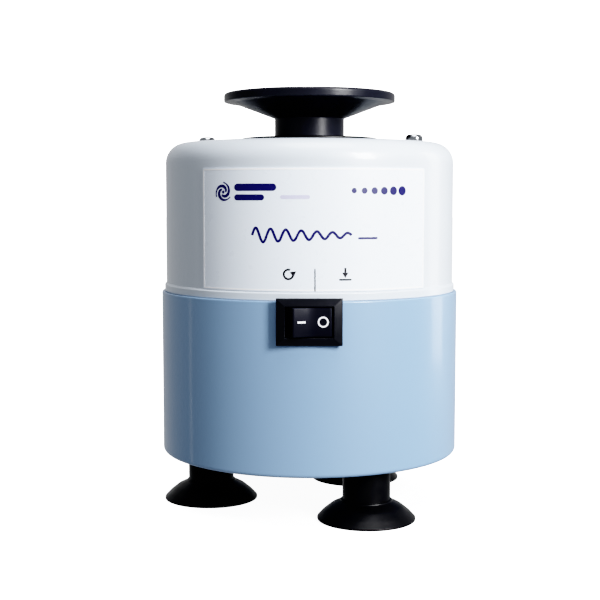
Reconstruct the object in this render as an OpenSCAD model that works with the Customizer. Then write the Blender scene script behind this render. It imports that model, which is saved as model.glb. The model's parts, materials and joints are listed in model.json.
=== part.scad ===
// Fixed-speed vortex mixer with an orbiting rubber platform.
// Millimetres. The origin is the centre of the plane it stands on, +Z is up and the switch faces -Y.

/* [Housings] */
// Outside diameter of the lower housing
housing_d = 104.6; // [104:0.1:106]
// Outside diameter of the upper cover
cover_d = 101.4; // [101.4:0.1:102]
// Height of the housing's underside above the table
housing_z = 18; // [17.5:0.1:18]
// Height of the seam between housing and cover
seam_z = 74.7; // [74.5:0.1:75]
// Height of the cover's flat top
cover_z = 126.3; // [126.2:0.1:126.4]
// Thickness of the drawn metal walls
wall = 2; // [1.8:0.1:2]
// Outside radius of the cover's shoulder
shoulder_r = 7; // [6:0.5:10]

/* [Platform] */
// Radius of the platform
platform_r = 30; // [29:0.1:31]
// Height of the platform's crest, which is the height of the mixer
platform_z = 143.6; // [143:0.1:145]
// Radius of the platform's neck
neck_r = 12.2; // [12:0.1:12.3]
// Radius of the orbit, the offset of the platform's axis from the motor's
orbit = 2; // [1:0.1:2]
// How far the platform goes down when it is pressed
touch_travel = 1.5; // [1:0.1:1.5]

/* [Feet] */
// Radius of the circle on which the three feet stand
foot_circle_r = 35.2; // [35:0.1:36]
// How far that circle's middle lies in front of the mixer's axis
foot_shift = 3; // [0:0.5:3]
// Radius of a suction cup's rim
cup_r = 16.5; // [15:0.1:17]
// Height of a suction cup
cup_h = 6.3; // [6:0.1:7.5]
// Radius of a foot's stem
stem_r = 8; // [7:0.1:8.2]

/* [Switch] */
// Width of the rocker switch's frame
switch_w = 21; // [20.8:0.1:21.2]
// Height of the rocker switch's frame
switch_h = 15; // [14.8:0.1:15.2]
// Height of the rocker switch's middle
switch_z = 68.3; // [68:0.1:68.4]
// How far the rocker turns from one side to the other, in degrees
rocker_throw = 20; // [16:1:20]

/* [Label] */
// Where the label starts on the left, in degrees from the front
label_left = -42.8; // [-48:0.1:-40]
// Where the label ends on the right, in degrees from the front
label_right = 47.5; // [40:0.5:48]
// Height of the label's lower edge
label_low = 77.7; // [77.7:0.1:81]
// Height of the label's upper edge
label_high = 116.8; // [112:0.1:118]

/* [Motor] */
// Radius of the motor shaft
shaft_r = 3; // [2.8:0.05:3]
// Height of the stator's lower face
stack_z = 70; // [69.8:0.1:70.2]
// Height of the stack of laminations
stack_h = 22; // [20:1:22]
// Radius of the rotor
rotor_r = 13.2; // [12:0.1:13.2]
// Air gap between rotor and stator
air_gap = 0.4; // [0.3:0.05:0.5]

/* [Hidden] */
$fn = 96;

slack = 0.05;        // running clearance of a pin in its bore
eps = 0.01;          // keeps a cut clear of the face that it starts from

housing_r = housing_d / 2;
cover_r = cover_d / 2;
bore_r = housing_r - wall;               // inside of the lower housing
floor_z = housing_z + wall + 0.5;        // top of the housing's floor
cover_in_r = cover_r - wall;
flare = 0.6;                             // how far the cover's lower edge stands out
flare_h = [2.35, 2.95];                  // height of its straight band, and with the slope above
corner_r = 1.2;                          // rounding of the housing's underside
lip_r = 0.5;                             // rounding of its upper edge
skirt_h = 4.7;                           // ring of the cover that goes down inside the housing
skirt_gap = 0.2;
label_t = 0.25;

// The three feet, by the angle of each from +X about the middle of their circle
foot_angles = [182, -57, 60];
stud_r = 2;
stud_grip = 9;                           // length of a stud or screw inside a pillar
foot_dome = [4, 3.6];                    // radius and height of the top of a cup's hollow

// Cover screws and the posts that hold them
post_angles = [-17.5, 167.5];
post_circle_r = 37.8;
post_screw_r = 1.5;
screw_head = [3, 2.7];                   // radius and height

// Motor plate and the pieces stood on it
plate_z = 52;
plate_t = 2;
plate_top = plate_z + plate_t;
plate_r = 46;
bolt_x = 24;                             // the two motor bolts
bolt_r = 2;
bracket_screw_y = 22;                    // the two screws of the spring bracket
lead_hole = [37, -19, 4.5];              // X and Y of the plate's holes for leads, and their radius
spacer_r = 3.4;
screw_grip = [10, 7];                    // depth of the cover posts' upper and lower threads

// Stator of a two-pole shaded-pole motor
stack_top = stack_z + stack_h;
stator_bore_r = rotor_r + air_gap;
stator_x = 29;
stator_front = -20;
window_y = [15.5, 26];
window_x = 19;
limb_y = [26, 36];
coil_x = 15.5;
coil_flange_t = 1.5;
coil_wall = 1;
coil_t = 4.8;
ring_w = 2;                              // section of a shading ring
ring_slot = [15.5, 10];                  // middle of the slot of a shading ring

// Bridges that hold the bushes
bridge_w = 16;
bridge_t = 3;
bridge_h = 9;
bridge_leg_x = 19;
boss_r = 8.5;

// Rotor and bushes
end_ring_h = 3;
bush_r = 6;
bush_h = 8;
bush_offset = end_ring_h + 2;            // from the stack to a bush
lower_bush_z = stack_z - bush_offset - bush_h;
upper_bush_z = stack_top + bush_offset;
clip_t = 1;
clip_r = 6.2;
end_ring_r = [8, rotor_r - 0.4];
shaft_bottom = lower_bush_z - 6;
shaft_top = 112.5;

// Eccentric hub and head, from the bottom up
hub_z = upper_bush_z + bush_h + 2.5;
hub_top = 114.2;
hub_middle = (hub_z + hub_top) / 2;
hub_r = 10;
pin_r = 4.4;                             // shoulder of the crank pin, under the bearing
weight_t = 9;                            // thickness of the counterweight across its crescent
retainer_z = [115.2, 116.6];             // lower flange of the bearing retainer
neck_z = 119.2;                          // lower end of the neck
bearing_z = 121;
bearing_h = 6;
bearing_r = [3, 9.5];                    // a bearing 6 mm bore, 19 mm outside, 6 mm wide
race_t = 1.6;
pitch_r = (bearing_r[0] + bearing_r[1]) / 2;
ball_r = (bearing_r[1] - bearing_r[0]) / 2 - race_t + 0.45;
ball_count = 7;
lip_z = [117.2, 118.6];                  // the boot's inner lip, in the retainer's groove
groove_r = 8;
retainer_hole_r = 5.2;
seat_r = 6.5;                            // bore clear of the bearing's screw
insert_r = 10.6;                         // metal cup in the neck
insert_top = 131.5;
cone_z = [134.9, 140.3];                 // lower and upper ends of the platform's cone
cone_r = 26.6;                           // its radius at the upper end
rim_z = 140.6;                           // lower edge of the platform's rim
rim_round = 1.4;
dish = [27.5, 3];                        // radius and depth of the platform's dished top
boot_tube_r = [15, 16.2];
boot_flange = [24, 1.9];                 // radius and thickness of the flange on the cover
boot_bead = [18.4, 1.8];                 // the bead that grips the cover from inside

// Touch mechanism under the shaft
strap_t = 1.5;                           // thickness of the spring bracket's strap
strap_x = 8;                             // half its width
strap_y = 18;                            // half the distance between its outer sides
strap_foot = 10.5;
plunger_r = 3;
plunger_flange_r = 7;
ball_top = shaft_bottom - slack;
thrust_r = 2.5;
guide_z = [35, 37];                      // the spring bracket's lower plate
spring_z = [37.05, 44.45];
flange_z = [44.5, 46];
stem_tip_r = 1.2;
lever_pivot = [9.5, 31.9];               // X and Z of the microswitch lever's pin
lever_x = -2.5;                          // free end of the lever
lever_z = [32.4, 32.8];
lever_dip = 1.3 * touch_travel;          // how far its free end goes down
micro_x = [-7.5, 12.5];
micro_y = 3.2;
micro_hole = [-2.5, 7];                  // X of the two fixing screws
micro_hole_h = 3;
lever_pin_r = 0.45;
lever_half_w = 1.8;
micro_z = [21.3, lever_z[0] - lever_dip - 0.45];
ear = [2.4, 0.8];                        // width and thickness of the ears that hold the lever
button_x = 4.5;
button_r = 0.9;

// Rocker switch
frame_front = -(housing_r + 2.2);
frame_back = -(housing_r + slack);
case_half = [9.5, 6.3];                  // half the width and height of the case behind the frame
case_back = -38;
cavity_back = -43;
notch_gap = 0.2;                         // between the case and the notch that it stands in
opening = [15.2, 9.8];
rocker_depth = 5;                        // how far its pivot lies behind the frame's face
rocker_pivot_y = frame_front + rocker_depth;
rocker_pin_r = 1.25;
rocker_pin_half = 5.7;
rocker_half_w = 7.2;
rocker_tip_x = 6.44;                     // half the length of its face
rocker_proud = 0.8;                      // how far its ends stand out when it is level
rocker_dip = 0.4;                        // how far its middle lies behind the frame's face

// Grommet of the supply lead
grommet_z = 30;
grommet_r = 3.2;
grommet_hole_r = 5;
grommet_flange_r = 7;
grommet_proud = 3.2;

// Terminal block, earth stud and insulated leads
pole_x = [-19, -10, -1];
pole_y = 34;
pole_screw_y = 3.2;
earth_at = [-26, -24];
lead_r = 0.9;

// ---- helpers ------------------------------------------------------------

// Half section of a disc from z0 to z1 with its outer corners rounded
module disc_profile(r, z0, z1, low_r = 0, top_r = 0) {
    translate([0, z0 + low_r]) square([r, z1 - z0 - low_r - top_r]);
    if (low_r > 0) {
        translate([0, z0]) square([r - low_r, 2 * low_r]);
        translate([r - low_r, z0 + low_r]) circle(low_r);
    }
    if (top_r > 0) {
        translate([0, z1 - 2 * top_r]) square([r - top_r, 2 * top_r]);
        translate([r - top_r, z1 - top_r]) circle(top_r);
    }
}

module tube(r_out, r_in, z0, z1) {
    translate([0, 0, z0]) difference() {
        cylinder(r = r_out, h = z1 - z0);
        translate([0, 0, -eps]) cylinder(r = r_in, h = z1 - z0 + 2 * eps);
    }
}

module rod(r, z0, z1) {
    translate([0, 0, z0]) cylinder(r = r, h = z1 - z0);
}

module hex_rod(across_flats, z0, z1) {
    translate([0, 0, z0]) cylinder(r = across_flats / sqrt(3), h = z1 - z0, $fn = 6);
}

// A box given by its lowest and highest corners
module box(low, high) {
    translate(low) cube(high - low);
}

// A flat rectangle with rounded corners, about the origin
module round_rect(w, h, r) {
    square([w - 2 * r, h], center = true);
    square([w, h - 2 * r], center = true);
    for (x = [-1, 1], y = [-1, 1]) translate([x * (w / 2 - r), y * (h / 2 - r)]) circle(r);
}

// A pan head screw pointing down, with its head on z = 0
module pan_screw(r, length, head_r, head_h) {
    difference() {
        union() {
            rotate_extrude() disc_profile(head_r, 0, head_h, 0, head_h * 0.45);
            rod(r, -length, eps);
        }
        for (a = [0, 90]) rotate(a) translate([-head_r * 0.6, -0.35, head_h * 0.55])
            cube([head_r * 1.2, 0.7, head_h]);
    }
}

module at_circle(r, angles) {
    for (a = angles) rotate(a) translate([r, 0, 0]) children();
}

module at_feet() {
    translate([0, -foot_shift, 0]) at_circle(foot_circle_r, foot_angles) children();
}

// Everything that turns about the platform's own axis stands here at rest
module at_orbit() {
    translate([0, -orbit, 0]) children();
}

// ---- swept round wire ------------------------------------------------------

function unit(v) = v / norm(v);

// A point on the smooth curve through p, between p[i] and p[i + 1]
function on_curve(p, i, t) =
    let (a = p[max(i - 1, 0)], b = p[i], c = p[i + 1], d = p[min(i + 2, len(p) - 1)])
    0.5 * ((2 * b) + (c - a) * t + (2 * a - 5 * b + 4 * c - d) * t * t
        + (3 * b - a - 3 * c + d) * t * t * t);

function smooth(p, steps) =
    concat([for (i = [0 : len(p) - 2], s = [0 : steps - 1]) on_curve(p, i, s / steps)], [p[len(p) - 1]]);

// The normal at each point, carried along the path so that the tube doesn't twist
function normals(dirs) =
    [for (i = 0, n = unit(cross(dirs[0], abs(dirs[0][2]) > 0.9 ? [1, 0, 0] : [0, 0, 1]));
        i < len(dirs);
        i = i + 1, n = i < len(dirs) ? unit(n - dirs[i] * (n * dirs[i])) : n) n];

module wire(path, r, sides = 8) {
    last = len(path) - 1;
    dirs = [for (i = [0 : last]) unit(path[min(i + 1, last)] - path[max(i - 1, 0)])];
    across = normals(dirs);
    points = [for (i = [0 : last], k = [0 : sides - 1])
        let (a = 360 * k / sides, up = cross(dirs[i], across[i]))
        path[i] + r * (cos(a) * across[i] + sin(a) * up)];
    walls = [for (i = [0 : last - 1], k = [0 : sides - 1])
        let (m = (k + 1) % sides)
        [i * sides + k, (i + 1) * sides + k, (i + 1) * sides + m, i * sides + m]];
    ends = [[for (k = [0 : sides - 1]) k], [for (k = [sides - 1 : -1 : 0]) last * sides + k]];
    polyhedron(points, concat(walls, ends), convexity = 6);
}

// ---- housings ------------------------------------------------------------

// The switch's notch, cut through the wall at the front
module switch_notch(top) {
    half = [case_half[0] + notch_gap, case_half[1] + notch_gap];
    box([-half[0], -housing_r - 2, switch_z - half[1]], [half[0], -cover_in_r + 4, top]);
}

module lower_housing() color("LightSteelBlue") difference() {
    rotate_extrude($fn = 180) difference() {
        disc_profile(housing_r, housing_z, seam_z, corner_r, lip_r);
        disc_profile(bore_r, floor_z, seam_z + 5, 1, 0);
    }
    switch_notch(seam_z + 1);
    at_feet() rod(stud_r + 0.2, housing_z - 1, floor_z + 1);
    at_grommet() rod(grommet_hole_r, bore_r - 3, housing_r + 3);
}

module upper_cover() color("WhiteSmoke") difference() {
    rotate_extrude($fn = 180) difference() {
        union() {
            disc_profile(cover_r, seam_z, cover_z, 0, shoulder_r);
            translate([0, seam_z]) polygon([[cover_in_r, 0], [cover_r + flare, 0],
                [cover_r + flare, flare_h[0]], [cover_r, flare_h[1]], [cover_in_r, flare_h[1]]]);
            translate([0, seam_z - skirt_h]) square([bore_r - skirt_gap, skirt_h + 1]);
        }
        disc_profile(cover_in_r, seam_z - skirt_h - 1, cover_z - wall, 0, shoulder_r - wall);
    }
    switch_notch(seam_z + slack);
    rod(boot_tube_r[1], cover_z - 5, cover_z + 1);
    at_circle(post_circle_r, post_angles) rod(post_screw_r + 0.2, cover_z - 5, cover_z + 1);
}

module front_label() color("AliceBlue")
    translate([0, 0, label_low])
    rotate(-90 + label_left)
    rotate_extrude(angle = label_right - label_left, $fn = 180)
    translate([cover_r, 0]) square([label_t, label_high - label_low]);

// ---- feet and chassis ----------------------------------------------------

// Suction cup and stem, moulded in one, with a socket for the stud
module foot() {
    color([0.09, 0.09, 0.1]) difference() {
        rotate_extrude($fn = 120) difference() {
            union() {
                polygon([[0, 0], [cup_r - 0.2, 0], [cup_r, 0.2], [cup_r, 0.6], [cup_r - 0.7, 1.4],
                    [cup_r - 1.8, 2.5], [cup_r - 3.1, 3.6], [cup_r - 4.5, 4.6], [stem_r + 0.6, cup_h],
                    [0, cup_h]]);
                translate([0, cup_h - 1]) square([stem_r, housing_z - cup_h + 1]);
            }
            polygon([[0, -1], [cup_r - 1.4, -1], [cup_r - 1.4, 0], [cup_r - 4, 1.6],
                foot_dome, [0, foot_dome[1]]]);
        }
        rod(stud_r, cup_h + 1, housing_z + 1);
    }
}

module placed_foot(angle) translate([0, -foot_shift, 0]) rotate(angle)
    translate([foot_circle_r, 0, 0]) foot();
module foot_left() placed_foot(foot_angles[0]);
module foot_front() placed_foot(foot_angles[1]);
module foot_back() placed_foot(foot_angles[2]);

module foot_studs() color("Silver")
    at_feet() rod(stud_r, cup_h + 1, floor_z + stud_grip);

module chassis_pillars() color("Silver") at_feet() difference() {
    hex_rod(8, floor_z, plate_z);
    rod(stud_r, floor_z - 1, floor_z + stud_grip);
    rod(stud_r, plate_z - stud_grip, plate_z + 1);
}

module plate_screws() color("Silver")
    at_feet() translate([0, 0, plate_top]) pan_screw(stud_r, 10, 3.6, 2.6);

module motor_plate() color("DarkGray") difference() {
    rod(plate_r, plate_z, plate_top);
    rod(8, plate_z - 1, plate_top + 1);
    at_feet() rod(stud_r + 0.2, plate_z - 1, plate_top + 1);
    at_circle(post_circle_r, post_angles) rod(post_screw_r + 0.2, plate_z - 1, plate_top + 1);
    for (s = [-1, 1]) {
        translate([s * bolt_x, 0, 0]) rod(bolt_r, plate_z - 1, plate_top + 1);
        translate([0, s * bracket_screw_y, 0]) rod(post_screw_r, plate_z - 1, plate_top + 1);
        translate([s * lead_hole[0], lead_hole[1], 0]) rod(lead_hole[2], plate_z - 1, plate_top + 1);
    }
}

module cover_posts() color("Silver") at_circle(post_circle_r, post_angles) difference() {
    hex_rod(6, plate_top, cover_z - wall);
    rod(post_screw_r, cover_z - wall - screw_grip[0], cover_z);
    rod(post_screw_r, plate_top - 1, plate_top + screw_grip[1]);
}

module cover_screws() color("Silver")
    at_circle(post_circle_r, post_angles) translate([0, 0, cover_z])
    pan_screw(post_screw_r, 10, screw_head[0], screw_head[1]);

module post_screws() color("Silver")
    at_circle(post_circle_r, post_angles) translate([0, 0, plate_z]) mirror([0, 0, 1])
    pan_screw(post_screw_r, 8, screw_head[0], screw_head[1]);

// ---- motor, fixed pieces -------------------------------------------------

// One shading slot in front of the left pole's bore and one behind the right pole's
module at_poles() {
    for (s = [-1, 1]) translate([s * ring_slot[0], s * ring_slot[1], 0]) children();
}

module stator_core() color("DimGray") difference() {
    translate([0, 0, stack_z]) linear_extrude(stack_h) difference() {
        union() {
            translate([-stator_x + 3, stator_front]) square([2 * stator_x - 6, 10]);
            translate([-stator_x, stator_front + 3]) square([2 * stator_x, limb_y[0] - stator_front - 3]);
            for (s = [-1, 1]) translate([s * (stator_x - 3), stator_front + 3]) circle(3);
        }
        translate([-window_x, window_y[0]]) square([2 * window_x, 20]);
        at_poles() square(ring_w, center = true);
    }
    rod(stator_bore_r, stack_z - 1, stack_top + 1);
    for (s = [-1, 1]) translate([s * bolt_x, 0, 0]) rod(bolt_r + 0.1, stack_z - 1, stack_top + 1);
}

module coil_limb() color("DimGray")
    box([-stator_x, limb_y[0], stack_z], [stator_x, limb_y[1], stack_top]);

// Section of the coil across the limb, grown by t
module coil_section(t, corner) {
    translate([(limb_y[0] + limb_y[1]) / 2, stack_z + stack_h / 2])
        round_rect(limb_y[1] - limb_y[0] + 2 * t, stack_h + 2 * t, corner);
}

// Turns a flat section in Y and Z into a block along X
module along_x(x0, x1) {
    translate([x0, 0, 0]) rotate([90, 0, 90]) linear_extrude(x1 - x0) children();
}

module coil_bobbin() color("Ivory") difference() {
    union() {
        along_x(-coil_x, coil_x) coil_section(coil_wall, 0.5);
        along_x(-coil_x - coil_flange_t, -coil_x) coil_section(coil_wall + coil_t + 0.5, 2);
        along_x(coil_x, coil_x + coil_flange_t) coil_section(coil_wall + coil_t + 0.5, 2);
    }
    box([-stator_x, limb_y[0], stack_z], [stator_x, limb_y[1], stack_top]);
}

module coil_winding() color("Peru") along_x(-coil_x, coil_x) difference() {
    coil_section(coil_wall + coil_t, 4);
    coil_section(coil_wall, 0.5);
}

// Closed copper loops, each round one half of a pole
module shading_rings() color("Chocolate") for (s = [-1, 1]) {
    edge = s < 0 ? stator_front : window_y[0];
    slot_y = s * ring_slot[1];
    low_y = min(slot_y - ring_w / 2, edge - (s < 0 ? ring_w : 0));
    high_y = max(slot_y + ring_w / 2, edge + (s > 0 ? ring_w : 0));
    translate([s * ring_slot[0], 0, 0]) difference() {
        box([-ring_w / 2, low_y, stack_z - ring_w], [ring_w / 2, high_y, stack_top + ring_w]);
        box([-ring_w, low_y + ring_w, stack_z], [ring_w, high_y - ring_w, stack_top]);
    }
}

// Bridge over the rotor's end that holds a bush, for the upper side of the stack
module motor_bracket() difference() {
    union() {
        for (s = [-1, 1]) {
            translate([s * bolt_x, 0, bridge_t / 2]) cube([10, bridge_w, bridge_t], center = true);
            translate([s * bridge_leg_x, 0, bridge_h / 2])
                cube([bridge_t, bridge_w, bridge_h], center = true);
        }
        translate([0, 0, bridge_h - bridge_t / 2])
            cube([2 * bridge_leg_x, bridge_w, bridge_t], center = true);
        rod(boss_r, bush_offset, bush_offset + bush_h);
    }
    rod(bush_r, bush_offset - 1, bush_offset + bush_h + 1);
    for (s = [-1, 1]) translate([s * bolt_x, 0, 0]) rod(bolt_r + 0.1, -1, bridge_t + 1);
}

module upper_motor_bracket() color("LightGray") translate([0, 0, stack_top]) motor_bracket();
module lower_motor_bracket() color("LightGray")
    translate([0, 0, stack_z]) mirror([0, 0, 1]) motor_bracket();

module bush(z) color("Goldenrod") tube(bush_r, shaft_r + slack * 0.6, z, z + bush_h);
module lower_bush() bush(lower_bush_z);
module upper_bush() bush(upper_bush_z);

module motor_bolts() color("Silver")
    for (s = [-1, 1]) translate([s * bolt_x, 0, stack_top + bridge_t])
    pan_screw(bolt_r, stack_top + bridge_t - plate_z, spacer_r, 2.8);

module motor_spacers() color("Gainsboro")
    for (s = [-1, 1]) translate([s * bolt_x, 0, 0]) tube(spacer_r, bolt_r, plate_top, stack_z - bridge_t);

// ---- touch mechanism -----------------------------------------------------

// Bent strap under the motor plate that guides the plunger and carries the microswitch
module spring_bracket() color("DarkGray") difference() {
    union() {
        box([-strap_x, -strap_y, guide_z[0]], [strap_x, strap_y, guide_z[1]]);
        for (s = [-1, 1]) {
            translate([0, s * (strap_y - strap_t / 2), (guide_z[0] + plate_z) / 2])
                cube([2 * strap_x, strap_t, plate_z - guide_z[0]], center = true);
            translate([0, s * (strap_y - strap_t + strap_foot / 2), plate_z - strap_t / 2])
                cube([2 * strap_x, strap_foot, strap_t], center = true);
        }
        box([-strap_x, micro_y, micro_z[0]], [micro_x[1], micro_y + strap_t, guide_z[0] + eps]);
        rod(plunger_r + 2, guide_z[0] - 0.5, guide_z[1]);
    }
    rod(plunger_r + slack, guide_z[0] - 2, guide_z[1] + 2);
    for (s = [-1, 1]) translate([0, s * bracket_screw_y, 0])
        rod(post_screw_r + 0.2, plate_z - 3, plate_z + 1);
    microswitch_holes(1.1);
}

module bracket_screws() color("Silver")
    for (s = [-1, 1]) translate([0, s * bracket_screw_y, plate_z - strap_t]) mirror([0, 0, 1])
    pan_screw(post_screw_r, 3.5, screw_head[0], screw_head[1]);

module return_spring() color("Silver") {
    turns = 5.5;
    per_turn = 14;
    wire_r = 0.4;
    coil_r = 5.6;
    steps = turns * per_turn;
    climb = spring_z[1] - spring_z[0] - 2 * wire_r;
    wire([for (i = [0 : steps])
        [coil_r * cos(360 * i / per_turn), coil_r * sin(360 * i / per_turn),
            spring_z[0] + wire_r + climb * i / steps]], wire_r);
}

module touch_plunger() color("WhiteSmoke") difference() {
    union() {
        rod(plunger_r, guide_z[0] - 0.8, flange_z[0] + eps);
        rod(plunger_flange_r, flange_z[0], flange_z[1]);
        rod(plunger_r + 1.5, flange_z[1] - eps, ball_top - thrust_r + 0.4);
        rod(stem_tip_r, lever_z[1] + slack + stem_tip_r, guide_z[0] - 0.8 + eps);
        translate([0, 0, lever_z[1] + slack + stem_tip_r]) sphere(stem_tip_r);
    }
    translate([0, 0, ball_top - thrust_r]) sphere(thrust_r);
}

module thrust_ball() color("Silver") translate([0, 0, ball_top - thrust_r]) sphere(thrust_r);

module microswitch_holes(r) {
    for (x = micro_hole) translate([x, -micro_y - 1, micro_z[0] + micro_hole_h]) rotate([-90, 0, 0])
        cylinder(r = r, h = 2 * micro_y + 4);
}

module microswitch_case() color([0.15, 0.15, 0.16]) difference() {
    union() {
        box([micro_x[0], -micro_y, micro_z[0]], [micro_x[1], micro_y, micro_z[1]]);
        for (s = [-1, 1]) translate([lever_pivot[0], s * 2.6, lever_pivot[1] - 0.8])
            cube([ear[0], ear[1], 4], center = true);
    }
    translate([lever_pivot[0], 4, lever_pivot[1]]) rotate([90, 0, 0])
        cylinder(r = lever_pin_r + slack, h = 8);
    translate([button_x, 0, 0]) rod(button_r + slack, micro_z[1] - 3.4, micro_z[1] + 1);
    microswitch_holes(1);
}

module microswitch_screws() color("Silver")
    for (x = micro_hole) translate([x, -micro_y, micro_z[0] + micro_hole_h]) rotate([90, 0, 0])
    pan_screw(1, 2 * micro_y + 2.5, 1.9, 1.4);

module microswitch_terminals() color("Goldenrod")
    for (k = [0 : 2]) translate([micro_x[0], 0, micro_z[0] + 2 + 3 * k])
    box([-5, -1.6, 0], [0, 1.6, 0.5]);

module microswitch_lever() color("Silver") {
    box([lever_x, -lever_half_w, lever_z[0]], [lever_pivot[0], lever_half_w, lever_z[1]]);
    translate([lever_pivot[0], 0, lever_pivot[1]]) rotate([90, 0, 0]) {
        cylinder(r = 0.8, h = 2 * lever_half_w + 0.2, center = true);
        cylinder(r = lever_pin_r, h = 6, center = true);
    }
}

module microswitch_button() color("Firebrick") translate([button_x, 0, 0]) {
    rod(button_r, micro_z[1] - 2, lever_z[0] - 0.1 - button_r);
    translate([0, 0, lever_z[0] - 0.1 - button_r]) sphere(button_r);
}

// ---- rocker switch -------------------------------------------------------

// A slab of the frame's outline, smaller all round by inset
module frame_slab(inset, y0, y1) {
    half = [switch_w / 2 - inset, switch_h / 2 - inset];
    box([-half[0], y0, -half[1]], [half[0], y1, half[1]]);
}

// Frame and case of a snap-in rocker switch, open at the front
module switch_case() color([0.12, 0.12, 0.13]) translate([0, 0, switch_z]) difference() {
    union() {
        hull() {
            frame_slab(0, frame_back - 1.1, frame_back);
            frame_slab(1, frame_front, frame_back);
        }
        box([-case_half[0], frame_back - eps, -case_half[1]], [case_half[0], case_back, case_half[1]]);
    }
    box([-opening[0] / 2, frame_front - 1, -opening[1] / 2], [opening[0] / 2, cavity_back, opening[1] / 2]);
    translate([0, rocker_pivot_y, 0])
        cylinder(r = rocker_pin_r + slack, h = 2 * rocker_pin_half + 0.4, center = true);
}

module switch_terminals() color("Silver")
    for (x = [-6.5, 0, 6.5]) translate([x, case_back, switch_z]) box([-0.4, 0, -2.4], [0.4, 8, 2.4]);

// Rocker shaped about its own pivot, with its face towards -Y
module level_rocker() {
    tip_y = -rocker_depth - rocker_proud;
    dip_y = -rocker_depth + rocker_dip;
    translate([0, 0, -opening[1] / 2 + 0.2]) linear_extrude(opening[1] - 0.4)
        polygon([[-rocker_tip_x, tip_y], [0, dip_y], [rocker_tip_x, tip_y], [rocker_half_w, 0],
            [rocker_half_w, 1.5], [4, 3.5], [-4, 3.5], [-rocker_half_w, 1.5], [-rocker_half_w, 0]]);
    cylinder(r = rocker_pin_r, h = 2 * rocker_pin_half, center = true);
}

module switch_rocker() color([0.1, 0.1, 0.11])
    translate([0, rocker_pivot_y, switch_z]) rotate(rocker_throw / 2) level_rocker();

// ---- supply, earth and wiring --------------------------------------------

// Turns a shape about Z into one about Y, at the height of the grommet
module at_grommet() {
    translate([0, 0, grommet_z]) rotate([-90, 0, 0]) children();
}

// Rubber bush in the rear wall, with a flange that fits the wall on either side
module cord_grommet() color([0.1, 0.1, 0.1]) difference() {
    union() {
        at_grommet() rod(grommet_hole_r, bore_r - 1, housing_r + 1);
        difference() {
            at_grommet() rotate_extrude()
                disc_profile(grommet_flange_r, housing_r - 1, housing_r + grommet_proud, 0, 1.2);
            rod(housing_r, grommet_z - 20, grommet_z + 20);
        }
        intersection() {
            at_grommet() rod(grommet_flange_r, bore_r - 3, bore_r);
            rod(bore_r, grommet_z - 20, grommet_z + 20);
        }
    }
    at_grommet() rod(grommet_r, bore_r - 5, housing_r + 5);
}

// A copy at each of the block's three poles
module at_poles_of_block() {
    for (x = pole_x) translate([x, pole_y, floor_z]) children();
}

module terminal_block() color("Ivory") difference() {
    union() {
        translate([0, pole_y, floor_z]) box([pole_x[0] - 4, -5, 0], [pole_x[2] + 4, 5, 4]);
        at_poles_of_block() {
            box([-3.5, -6, 0], [3.5, 6, 7]);
            for (s = [-1, 1]) translate([0, s * pole_screw_y, 0]) rod(2.7, 6, 10);
        }
    }
    at_poles_of_block() {
        for (s = [-1, 1]) translate([0, s * pole_screw_y, 0]) rod(1.7, 4.8, 11);
        translate([0, -8, 3.5]) rotate([-90, 0, 0]) cylinder(r = 1.3, h = 16);
    }
}

module terminal_screws() color("Goldenrod") at_poles_of_block()
    for (s = [-1, 1]) translate([0, s * pole_screw_y, 0]) difference() {
        rod(1.7, 4.8, 9);
        box([-2, -0.25, 8.3], [2, 0.25, 10]);
    }

// Stud fixed to the floor, with its washer and nut
module earth_stud() color("Goldenrod") translate([earth_at[0], earth_at[1], floor_z]) {
    rod(2, 0, 10);
    hex_rod(7, 1 - eps, 4);
    rod(4, 0, 1);
}

// One insulated lead along points set by hand
module lead(points) {
    wire(smooth(points, 5), lead_r);
}

// From the terminal block and from the microswitch to the rocker switch
module switch_leads() color("Black") {
    lead([[-19, 31, 24], [-19, 25, 24], [-30, 20, 26], [-43, 8, 34], [-43, -9, 42], [-38.5, -17.5, 52],
        [-36, -24, 60], [-26, -31, 66], [-13, -25.5, 68.3], [-6.5, -25, 68.3], [-6.5, -29.9, 68.3]]);
    lead([[-12.6, 0, 23.6], [-16, 0, 23.6], [-22, -5, 25], [-28, -13, 33], [-34, -19, 46],
        [-36, -20.5, 53], [-30, -30, 61], [-14, -29, 63], [-2, -25, 64], [0, -24.5, 67.5],
        [0, -29.9, 68.3]]);
}

// From the terminal block and from the rocker switch to the coil
module coil_leads() color("Firebrick") {
    lead([[-1, 37, 24], [-1, 42, 24], [3, 45, 29], [9, 47.5, 40], [12, 47, 54], [12.5, 45, 64],
        [12, 44.6, 70], [12, 41.9, 71.5]]);
    lead([[6.5, -29.9, 68.3], [6.5, -25.5, 68.3], [14, -25, 67.5], [27, -28, 66.5], [40, -20, 67],
        [45, -6, 68], [44.5, 10, 70], [39, 25, 74], [33, 33.5, 78], [29.7, 37.2, 80.5],
        [23.5, 41.5, 83], [16, 44.6, 85], [12, 44.4, 85.3], [11, 41.9, 85.4]]);
}

// From the terminal block to the earth stud
module earth_lead() color("YellowGreen")
    lead([[-10, 31, 24], [-10, 24, 24], [-19, 12, 23.4], [-26.5, -3, 22.8], [-27, -14, 22.7],
        [-26, -20.4, 22.7]]);

// ---- rotor ---------------------------------------------------------------

module motor_shaft() color("Silver") rotate_extrude()
    disc_profile(shaft_r, shaft_bottom, shaft_top, 0.4, 0.4);

module rotor_core() color("SlateGray") tube(rotor_r, shaft_r, stack_z, stack_top);

module rotor_end_rings() color("LightGray") {
    tube(end_ring_r[1], end_ring_r[0], stack_z - end_ring_h, stack_z);
    tube(end_ring_r[1], end_ring_r[0], stack_top, stack_top + end_ring_h);
}

module shaft_clip() color("DimGray") difference() {
    tube(clip_r, shaft_r, lower_bush_z - clip_t - slack, lower_bush_z - slack);
    box([-1.8, -8, lower_bush_z - 3], [1.8, 0, lower_bush_z + 1]);
}

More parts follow.
